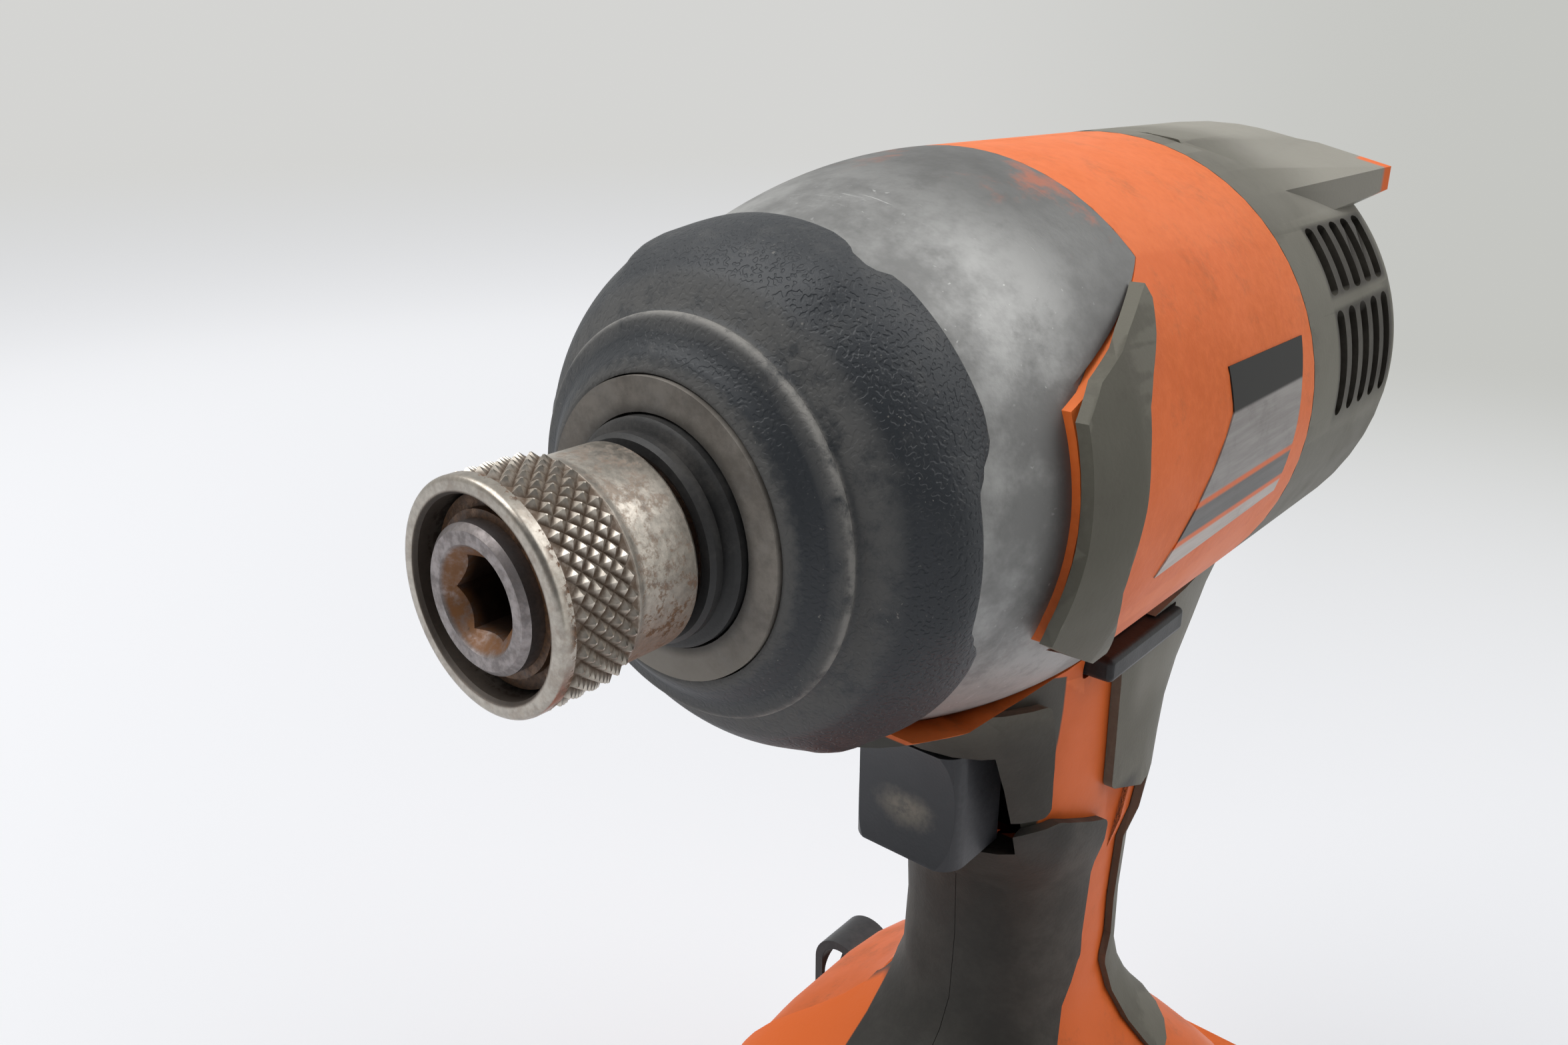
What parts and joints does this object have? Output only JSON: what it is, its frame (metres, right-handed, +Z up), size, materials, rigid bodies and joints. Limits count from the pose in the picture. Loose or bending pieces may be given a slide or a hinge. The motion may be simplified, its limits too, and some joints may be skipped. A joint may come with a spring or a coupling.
{
  "type": "impact driver",
  "caption": "Cordless impact driver with hex bit socket, knurled pull sleeve, rubber nose bumper, metal hammer case, rubber-skinned grip, trigger and slide-on battery pack.",
  "frame": {"origin": "on the rest face under the battery pack, below the grip's axis", "axes": "+Z up, -Y towards the nose along the spindle axis, +X to the tool's left"},
  "size_m": [0.0863, 0.144, 0.211],
  "materials": {
    "tool_steel": "oiled dark steel",
    "bright_steel": "worn bright steel",
    "spring_steel": "spring wire",
    "screw_steel": "blackened",
    "can_steel": "plated",
    "hook_steel": "black coat",
    "case_metal": "semi-gloss pewter coat, scuffed",
    "black_rubber": "leather grained, dusty",
    "grey_rubber": "matt overmould",
    "orange_plastic": "fine grain",
    "grey_plastic": "fine grain",
    "black_plastic": "satin",
    "bronze": "sintered",
    "copper": "bright",
    "magnet": "ferrite",
    "carbon": "pressed",
    "cell_wrap": "shrink wrap",
    "board": "lacquered"
  },
  "bodies": {
    "housing": {"nose_seal": "black_rubber", "nose_bumper": "black_rubber", "hammer_case": "case_metal", "anvil_bush": "bronze", "ring_gear": "tool_steel", "gear_plate": "black_plastic", "plate_screws": "screw_steel", "spindle_bearing": "bright_steel", "motor_can": "can_steel", "motor_magnets": "magnet", "end_bell": "black_plastic", "carbon_brushes": "carbon", "motor_bearings": "bright_steel", "housing_left": "orange_plastic", "housing_right": "orange_plastic", "grip_left": "grey_rubber", "grip_right": "grey_rubber", "side_panel_left": "grey_rubber", "side_panel_right": "grey_rubber", "rear_cap": "grey_plastic", "cap_screws": "screw_steel", "housing_screws": "screw_steel", "trigger_switch": "black_plastic", "trigger_spring": "spring_steel", "terminal_block": "black_plastic", "belt_hook": "hook_steel", "hook_screw": "screw_steel", "hook_inserts": "bronze"},
    "spindle": {"cam_spindle": "tool_steel", "planet_pins": "bright_steel", "cam_balls": "bright_steel", "hammer_spring": "spring_steel"},
    "anvil": {"anvil": "tool_steel", "lock_balls": "bright_steel", "sleeve_washer": "bright_steel", "sleeve_clip": "spring_steel", "sleeve_spring": "spring_steel"},
    "rotor": {"sun_pinion": "bright_steel", "motor_shaft": "bright_steel", "armature": "copper", "commutator": "copper", "cooling_fan": "black_plastic"},
    "planet_left": {"planet_gear_left": "tool_steel"},
    "planet_right": {"planet_gear_right": "tool_steel"},
    "hammer": {"hammer": "tool_steel"},
    "sleeve": {"sleeve": "bright_steel"},
    "trigger": {"trigger": "black_plastic"},
    "selector": {"selector": "black_plastic"},
    "battery": {"battery_base": "black_plastic", "battery_lid": "orange_plastic", "battery_cells": "cell_wrap", "cell_holder": "grey_plastic", "battery_board": "board", "battery_contacts": "copper", "battery_screws": "screw_steel", "latch_spring_left": "spring_steel", "latch_spring_right": "spring_steel"},
    "latch_left": {"latch_left": "black_plastic"},
    "latch_right": {"latch_right": "black_plastic"}
  },
  "joints": [
    {"name": "spindle_spin", "type": "hinge", "parent": "housing", "child": "spindle", "pos_m": [0, 0, 0.18], "axis": [0, 1, 0], "continuous": true},
    {"name": "anvil_spin", "type": "hinge", "parent": "housing", "child": "anvil", "pos_m": [0, -0.07, 0.18], "axis": [0, 1, 0], "continuous": true},
    {"name": "rotor_spin", "type": "hinge", "parent": "housing", "child": "rotor", "pos_m": [0, 0.01, 0.18], "axis": [0, 1, 0], "continuous": true},
    {"name": "planet_spin_left", "type": "hinge", "parent": "spindle", "child": "planet_left", "pos_m": [0.012, -0.018, 0.18], "axis": [0, 1, 0], "continuous": true},
    {"name": "planet_spin_right", "type": "hinge", "parent": "spindle", "child": "planet_right", "pos_m": [-0.012, -0.018, 0.18], "axis": [0, 1, 0], "continuous": true},
    {"name": "hammer_retract", "type": "slide", "parent": "spindle", "child": "hammer", "axis": [0, 1, 0], "range_m": [0, 0.008], "stiffness_N_per_m": 9000, "springref_m": -0.003, "deforming": ["hammer_spring"]},
    {"name": "sleeve_pull", "type": "slide", "parent": "anvil", "child": "sleeve", "axis": [0, -1, 0], "range_m": [0, 0.0034], "stiffness_N_per_m": 900, "springref_m": -0.002, "deforming": ["sleeve_spring"]},
    {"name": "trigger_pull", "type": "slide", "parent": "housing", "child": "trigger", "axis": [0, 1, 0], "range_m": [0, 0.007], "stiffness_N_per_m": 900, "springref_m": -0.002, "deforming": ["trigger_spring"]},
    {"name": "selector_shift", "type": "slide", "parent": "housing", "child": "selector", "axis": [-1, 0, 0], "range_m": [0, 0.008]},
    {"name": "battery_slide", "type": "slide", "parent": "housing", "child": "battery", "axis": [0, -1, 0], "range_m": [0, 0.075]},
    {"name": "latch_left_press", "type": "slide", "parent": "battery", "child": "latch_left", "axis": [-1, 0, 0], "range_m": [0, 0.003], "stiffness_N_per_m": 1500, "springref_m": -0.001, "deforming": ["latch_spring_left"]},
    {"name": "latch_right_press", "type": "slide", "parent": "battery", "child": "latch_right", "axis": [1, 0, 0], "range_m": [0, 0.003], "stiffness_N_per_m": 1500, "springref_m": -0.001, "deforming": ["latch_spring_right"]}
  ],
  "couplings": [
    {"joint": "anvil_spin", "follows": "spindle_spin", "ratio": 1},
    {"joint": "rotor_spin", "follows": "spindle_spin", "ratio": 5},
    {"joint": "planet_spin_left", "follows": "spindle_spin", "ratio": -2.6667},
    {"joint": "planet_spin_right", "follows": "spindle_spin", "ratio": -2.6667}
  ]
}
